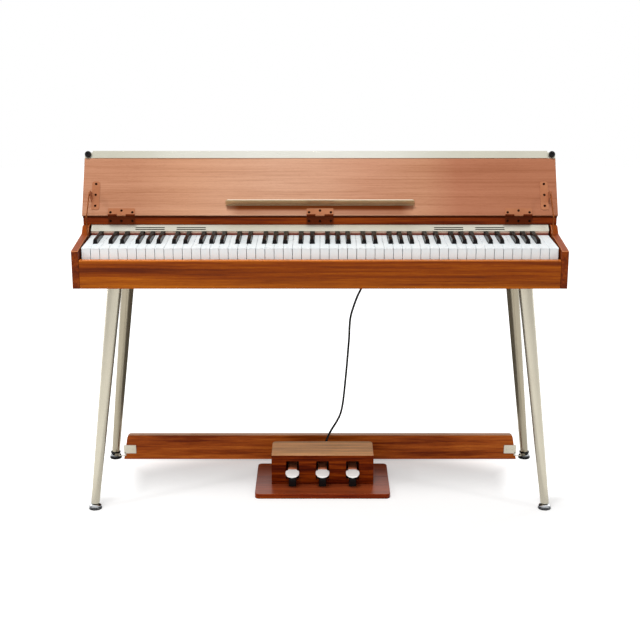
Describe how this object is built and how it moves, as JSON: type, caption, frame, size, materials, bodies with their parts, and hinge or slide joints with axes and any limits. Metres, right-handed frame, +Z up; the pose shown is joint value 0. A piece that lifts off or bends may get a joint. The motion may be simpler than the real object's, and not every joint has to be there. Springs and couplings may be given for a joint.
{
  "type": "digital piano",
  "caption": "Fold-lid digital piano in a slim wooden cabinet on splayed round legs, with a stretcher, a folding lid with music ledge, and a separate wooden pedal unit on a lead.",
  "frame": {"origin": "on the floor, under the centre of the whole piano's box with its lid open", "axes": "+X to the treble end of the keyboard, +Y from the player to the back, +Z up"},
  "size_m": [1.273, 0.41, 0.9317],
  "materials": {
    "cabinet_wood": "satin stained grain",
    "lid_wood": "satin stained grain, lighter",
    "inner_wood": "bare",
    "champagne_metal": "satin",
    "leg_paint": "satin champagne",
    "hinge_metal": "satin brown",
    "polished_chrome": "polished",
    "black_rubber": "matt",
    "black_plastic": "matt",
    "key_white": "gloss",
    "key_black": "satin",
    "red_felt": "felt",
    "circuit_board": "satin"
  },
  "bodies": {
    "root": {"cheek_left": "cabinet_wood", "cheek_right": "cabinet_wood", "front_rail": "cabinet_wood", "bottom_board": "inner_wood", "top_board": "cabinet_wood", "back_panel": "cabinet_wood", "rear_jack_plate": "black_plastic", "control_panel": "champagne_metal", "felt_strip": "red_felt", "key_bed": "black_plastic", "speaker_left": "black_plastic", "speaker_right": "black_plastic", "main_board": "circuit_board", "hinge_left_board_leaf": "hinge_metal", "hinge_middle_board_leaf": "hinge_metal", "hinge_right_board_leaf": "hinge_metal", "leg_front_left": "leg_paint", "leg_front_right": "leg_paint", "leg_rear_left": "leg_paint", "leg_rear_right": "leg_paint", "stretcher": "cabinet_wood", "stretcher_bracket_left": "leg_paint", "stretcher_bracket_right": "leg_paint", "pedal_base": "cabinet_wood", "pedal_housing": "cabinet_wood", "pedal_pivot_bracket": "black_plastic", "pedal_buffers": "black_rubber", "lead_strain_relief": "black_rubber", "pedal_socket": "black_plastic", "pedal_plug": "black_plastic", "pedal_cord": "black_rubber"},
    "lid": {"lid_board": "lid_wood", "lid_edge_strip": "champagne_metal", "music_ledge": "champagne_metal", "bumper_left": "black_rubber", "bumper_right": "black_rubber", "hinge_left_lid_leaf": "hinge_metal", "hinge_middle_lid_leaf": "hinge_metal", "hinge_right_lid_leaf": "hinge_metal", "stay_bracket_left": "hinge_metal", "stay_bracket_right": "hinge_metal"},
    "upper_arm_left": {"stay_upper_arm_left": "hinge_metal"},
    "lower_arm_left": {"stay_lower_arm_left": "hinge_metal"},
    "upper_arm_right": {"stay_upper_arm_right": "hinge_metal"},
    "lower_arm_right": {"stay_lower_arm_right": "hinge_metal"},
    "naturals_1": {"natural_keys_1": "key_white"},
    "sharps_1": {"sharp_keys_1": "key_black"},
    "naturals_2": {"natural_keys_2": "key_white"},
    "sharps_2": {"sharp_keys_2": "key_black"},
    "naturals_3": {"natural_keys_3": "key_white"},
    "sharps_3": {"sharp_keys_3": "key_black"},
    "naturals_4": {"natural_keys_4": "key_white"},
    "sharps_4": {"sharp_keys_4": "key_black"},
    "pedal_left": {"pedal_left": "polished_chrome"},
    "pedal_middle": {"pedal_middle": "polished_chrome"},
    "pedal_right": {"pedal_right": "polished_chrome"},
    "glide_front_left": {"glide_front_left": "polished_chrome"},
    "glide_front_right": {"glide_front_right": "polished_chrome"},
    "glide_rear_left": {"glide_rear_left": "polished_chrome"},
    "glide_rear_right": {"glide_rear_right": "polished_chrome"}
  },
  "joints": [
    {"name": "lid_hinge", "type": "hinge", "parent": "root", "child": "lid", "pos_m": [0, -0.013, 0.7721], "axis": [1, 0, 0], "range_deg": [0, 135]},
    {"name": "stay_upper_pivot_left", "type": "hinge", "parent": "lid", "child": "upper_arm_left", "pos_m": [-0.6131, -0.015, 0.83203], "axis": [1, 0, 0], "range_deg": [-173.5, 0]},
    {"name": "stay_lower_pivot_left", "type": "hinge", "parent": "root", "child": "lower_arm_left", "pos_m": [-0.6146, -0.0555, 0.706], "axis": [1, 0, 0], "range_deg": [0, 66.2]},
    {"name": "stay_upper_pivot_right", "type": "hinge", "parent": "lid", "child": "upper_arm_right", "pos_m": [0.6131, -0.015, 0.83203], "axis": [1, 0, 0], "range_deg": [-173.5, 0]},
    {"name": "stay_lower_pivot_right", "type": "hinge", "parent": "root", "child": "lower_arm_right", "pos_m": [0.6146, -0.0555, 0.706], "axis": [1, 0, 0], "range_deg": [0, 66.2]},
    {"name": "naturals_press_1", "type": "hinge", "parent": "root", "child": "naturals_1", "pos_m": [0, 0.03, 0.687], "axis": [1, 0, 0], "range_deg": [0, 2.7], "stiffness_Nm_per_rad": 60, "springref_deg": -6.88},
    {"name": "sharps_press_1", "type": "hinge", "parent": "root", "child": "sharps_1", "pos_m": [0, 0.048, 0.697], "axis": [1, 0, 0], "range_deg": [0, 2.7], "stiffness_Nm_per_rad": 24, "springref_deg": -6.88},
    {"name": "naturals_press_2", "type": "hinge", "parent": "root", "child": "naturals_2", "pos_m": [0, 0.03, 0.687], "axis": [1, 0, 0], "range_deg": [0, 2.7], "stiffness_Nm_per_rad": 52.5, "springref_deg": -6.88},
    {"name": "sharps_press_2", "type": "hinge", "parent": "root", "child": "sharps_2", "pos_m": [0, 0.048, 0.697], "axis": [1, 0, 0], "range_deg": [0, 2.7], "stiffness_Nm_per_rad": 21, "springref_deg": -6.88},
    {"name": "naturals_press_3", "type": "hinge", "parent": "root", "child": "naturals_3", "pos_m": [0, 0.03, 0.687], "axis": [1, 0, 0], "range_deg": [0, 2.7], "stiffness_Nm_per_rad": 52.5, "springref_deg": -6.88},
    {"name": "sharps_press_3", "type": "hinge", "parent": "root", "child": "sharps_3", "pos_m": [0, 0.048, 0.697], "axis": [1, 0, 0], "range_deg": [0, 2.7], "stiffness_Nm_per_rad": 21, "springref_deg": -6.88},
    {"name": "naturals_press_4", "type": "hinge", "parent": "root", "child": "naturals_4", "pos_m": [0, 0.03, 0.687], "axis": [1, 0, 0], "range_deg": [0, 2.7], "stiffness_Nm_per_rad": 30, "springref_deg": -6.88},
    {"name": "sharps_press_4", "type": "hinge", "parent": "root", "child": "sharps_4", "pos_m": [0, 0.048, 0.697], "axis": [1, 0, 0], "range_deg": [0, 2.7], "stiffness_Nm_per_rad": 12, "springref_deg": -6.88},
    {"name": "pedal_press_left", "type": "hinge", "parent": "root", "child": "pedal_left", "pos_m": [-0.0768, 0.035, 0.057], "axis": [1, 0, 0], "range_deg": [0, 5], "stiffness_Nm_per_rad": 6, "springref_deg": -14.32},
    {"name": "pedal_press_middle", "type": "hinge", "parent": "root", "child": "pedal_middle", "pos_m": [0.007, 0.035, 0.057], "axis": [1, 0, 0], "range_deg": [0, 5], "stiffness_Nm_per_rad": 6, "springref_deg": -14.32},
    {"name": "pedal_press_right", "type": "hinge", "parent": "root", "child": "pedal_right", "pos_m": [0.0908, 0.035, 0.057], "axis": [1, 0, 0], "range_deg": [0, 5], "stiffness_Nm_per_rad": 6, "springref_deg": -14.32},
    {"name": "glide_turn_front_left", "type": "hinge", "parent": "root", "child": "glide_front_left", "pos_m": [-0.607, -0.181, 0], "axis": [0, 0, 1], "continuous": true},
    {"name": "glide_turn_front_right", "type": "hinge", "parent": "root", "child": "glide_front_right", "pos_m": [0.607, -0.181, 0], "axis": [0, 0, 1], "continuous": true},
    {"name": "glide_turn_rear_left", "type": "hinge", "parent": "root", "child": "glide_rear_left", "pos_m": [-0.607, 0.1875, 0], "axis": [0, 0, 1], "continuous": true},
    {"name": "glide_turn_rear_right", "type": "hinge", "parent": "root", "child": "glide_rear_right", "pos_m": [0.607, 0.1875, 0], "axis": [0, 0, 1], "continuous": true}
  ],
  "couplings": [
    {"joint": "stay_upper_pivot_left", "follows": "lid_hinge", "ratio": -1.2832},
    {"joint": "stay_lower_pivot_left", "follows": "lid_hinge", "ratio": 0.48868},
    {"joint": "stay_upper_pivot_right", "follows": "lid_hinge", "ratio": -1.2832},
    {"joint": "stay_lower_pivot_right", "follows": "lid_hinge", "ratio": 0.48868}
  ]
}
